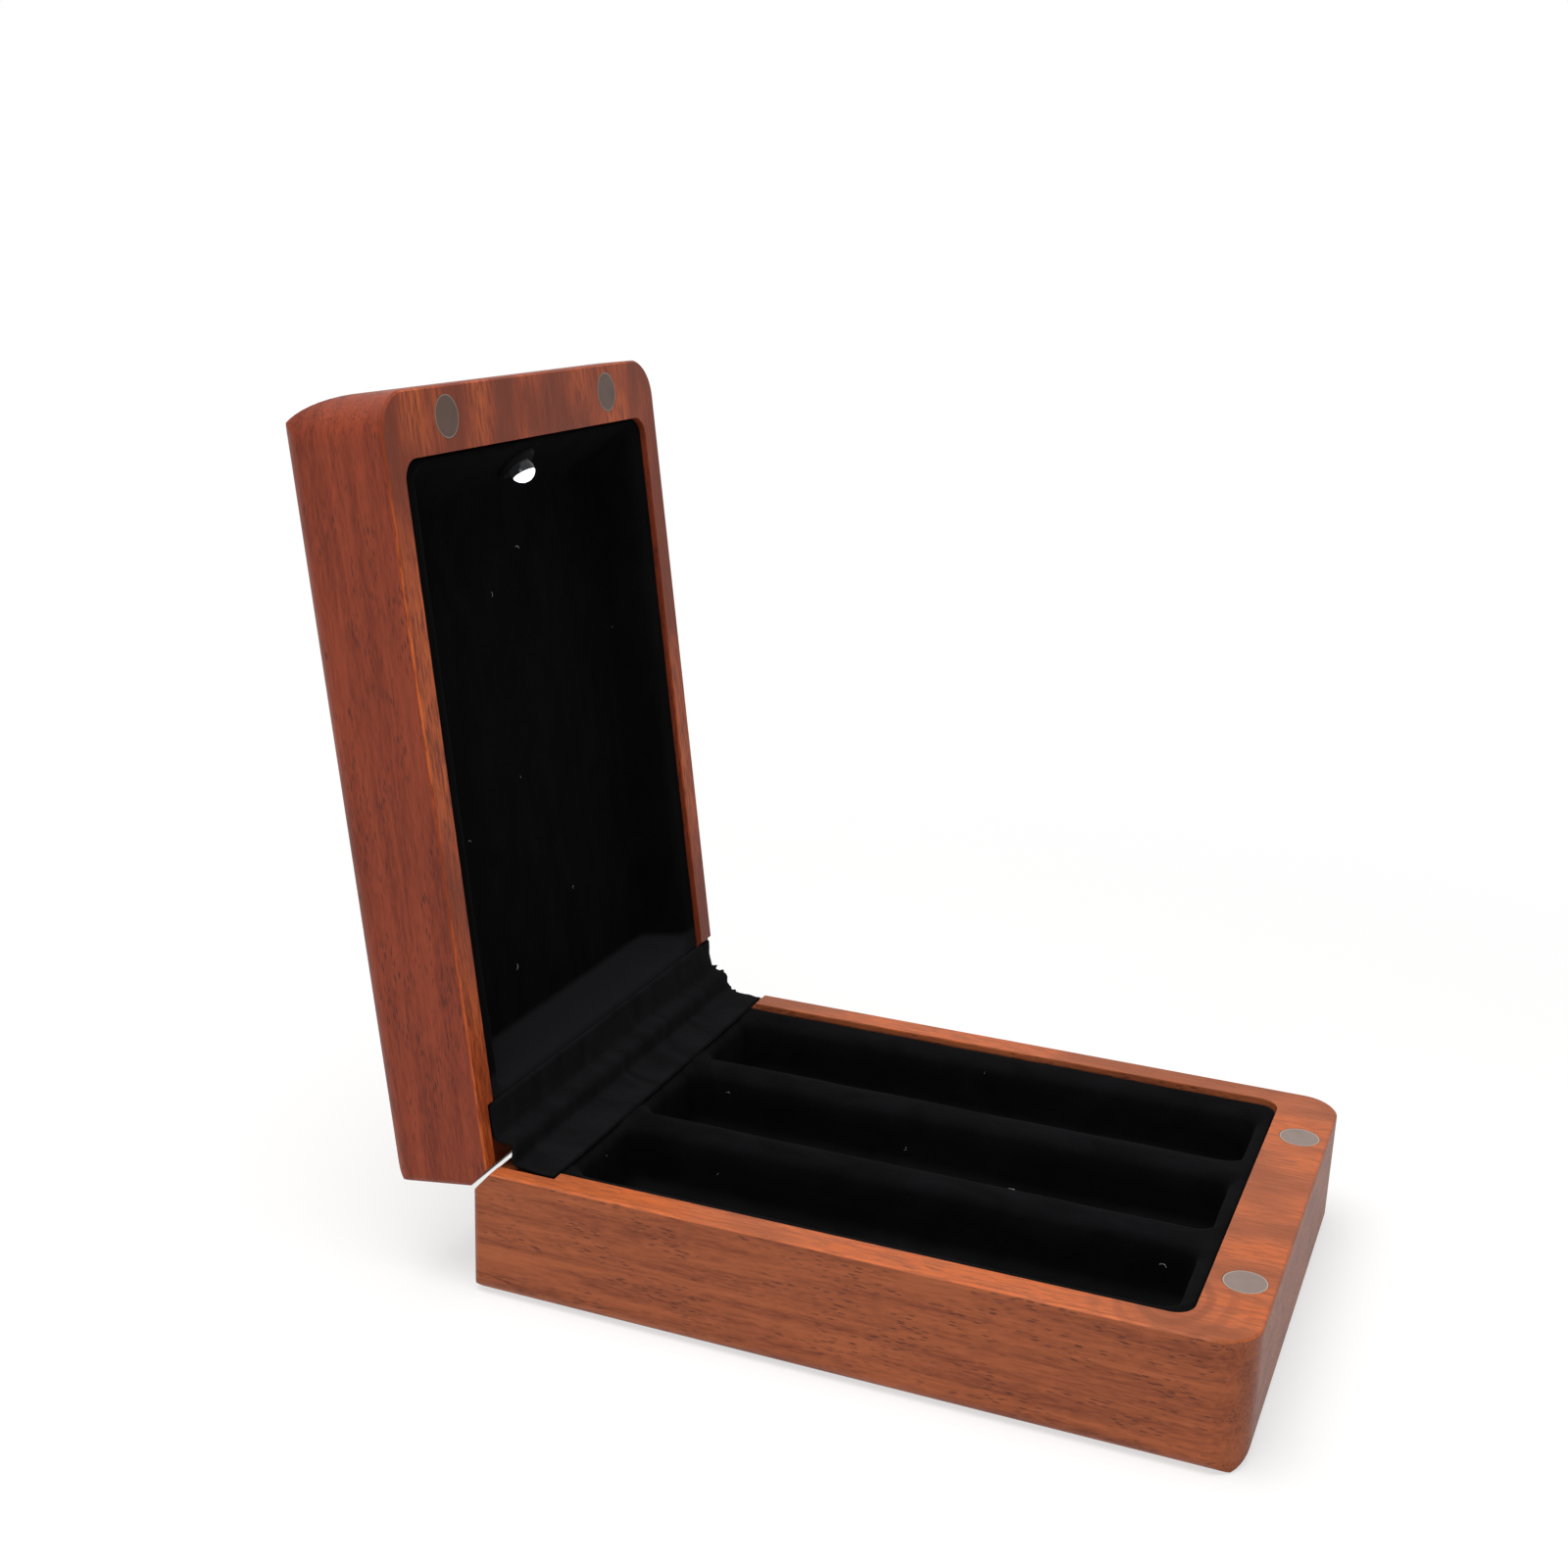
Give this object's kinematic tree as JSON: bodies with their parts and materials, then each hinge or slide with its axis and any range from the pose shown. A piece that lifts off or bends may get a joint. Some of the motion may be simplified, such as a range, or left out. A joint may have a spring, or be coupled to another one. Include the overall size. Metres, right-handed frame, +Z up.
{
  "type": "reed case",
  "caption": "Lined hardwood case with long slots, an upright hinged lid with magnetic closing and a small light inside the lid.",
  "frame": {"origin": "centre of the underside of the base", "axes": "+Z up, +X from the hinge towards the front edge, +Y across the case"},
  "size_m": [0.185, 0.106, 0.1687],
  "materials": {
    "hardwood": "satin lacquer",
    "hardwood_lid": "satin lacquer",
    "velvet": "short pile",
    "foam": "foam",
    "nickel": "nickel plate",
    "brass": "satin",
    "steel": "satin",
    "black_plastic": "moulded",
    "circuit_board": "board",
    "led_lens": "clear epoxy"
  },
  "bodies": {
    "base": {"base_shell": "hardwood", "base_magnet_left": "nickel", "base_magnet_right": "nickel", "slot_tray": "foam", "tray_velvet": "velvet", "hinge_base_leaf": "brass", "hinge_pin": "steel", "hinge_base_screws": "brass", "hinge_flap": "velvet"},
    "lid": {"lid_shell": "hardwood_lid", "lid_magnet_left": "nickel", "lid_magnet_right": "nickel", "lid_padding": "foam", "lid_velvet": "velvet", "led_bulb": "led_lens", "led_collar": "black_plastic", "led_board": "circuit_board", "led_leads": "steel", "coin_cell": "steel", "cell_holder": "black_plastic", "hinge_lid_leaf": "brass", "hinge_lid_screws": "brass"}
  },
  "joints": [
    {"name": "lid_hinge", "type": "hinge", "parent": "base", "child": "lid", "pos_m": [-0.0704, 0, 0.02575], "axis": [0, 1, 0], "range_deg": [0, 98], "deforming": ["hinge_flap"]}
  ]
}
